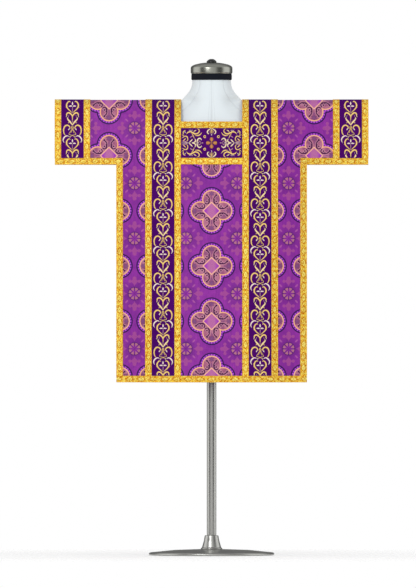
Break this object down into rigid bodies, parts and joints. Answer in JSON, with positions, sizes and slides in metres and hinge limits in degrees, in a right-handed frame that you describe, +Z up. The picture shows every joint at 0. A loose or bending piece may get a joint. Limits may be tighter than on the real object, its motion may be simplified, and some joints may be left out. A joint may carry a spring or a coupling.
{
  "type": "tunicle on a dress form",
  "caption": "Straight-cut liturgical tunicle with wide short sleeves, open sides, a square neck, velvet orphreys and gold braid, hung on a limbless dress form with a round base.",
  "frame": {"origin": "middle of the round base's underside, where the part stands", "axes": "+Z up, -Y towards the garment's front, +X towards the wearer's left"},
  "size_m": [1.05, 0.42, 1.6629],
  "materials": {
    "brocade": "purple silk brocade woven with lobed medallions, rosettes and fleury crosses",
    "velvet": "deep violet velvet with raised satin-stitch embroidery in gold, cream and lilac",
    "braid": "woven gold metallic braid",
    "jersey": "off-white cotton jersey",
    "neck_band": "black cloth band",
    "board": "black painted board",
    "cap": "polished metal",
    "knob": "black gloss",
    "stand": "brushed steel"
  },
  "bodies": {
    "root": {"front_panel": "brocade", "back_panel": "brocade", "clavus_left": "velvet", "clavus_right": "velvet", "cuff_band_left": "velvet", "cuff_band_right": "velvet", "yoke_front": "velvet", "yoke_back": "velvet", "clavus_braid_left_inner": "braid", "clavus_braid_left_outer": "braid", "clavus_braid_right_inner": "braid", "clavus_braid_right_outer": "braid", "cuff_braid_left_inner": "braid", "cuff_braid_left_outer": "braid", "cuff_braid_right_inner": "braid", "cuff_braid_right_outer": "braid", "neck_braid_front": "braid", "neck_braid_back": "braid", "yoke_braid_front": "braid", "yoke_braid_back": "braid", "sleeve_braid_front_left": "braid", "sleeve_braid_front_right": "braid", "sleeve_braid_back_left": "braid", "sleeve_braid_back_right": "braid", "side_braid_front_left": "braid", "side_braid_front_right": "braid", "side_braid_back_left": "braid", "side_braid_back_right": "braid", "hem_braid_front": "braid", "hem_braid_back": "braid", "form_torso": "jersey", "form_board": "board", "form_neck_band": "neck_band", "form_neck_cap": "cap", "form_neck_knob": "knob", "form_pole": "stand", "form_hub": "stand", "form_base": "stand"}
  },
  "joints": []
}
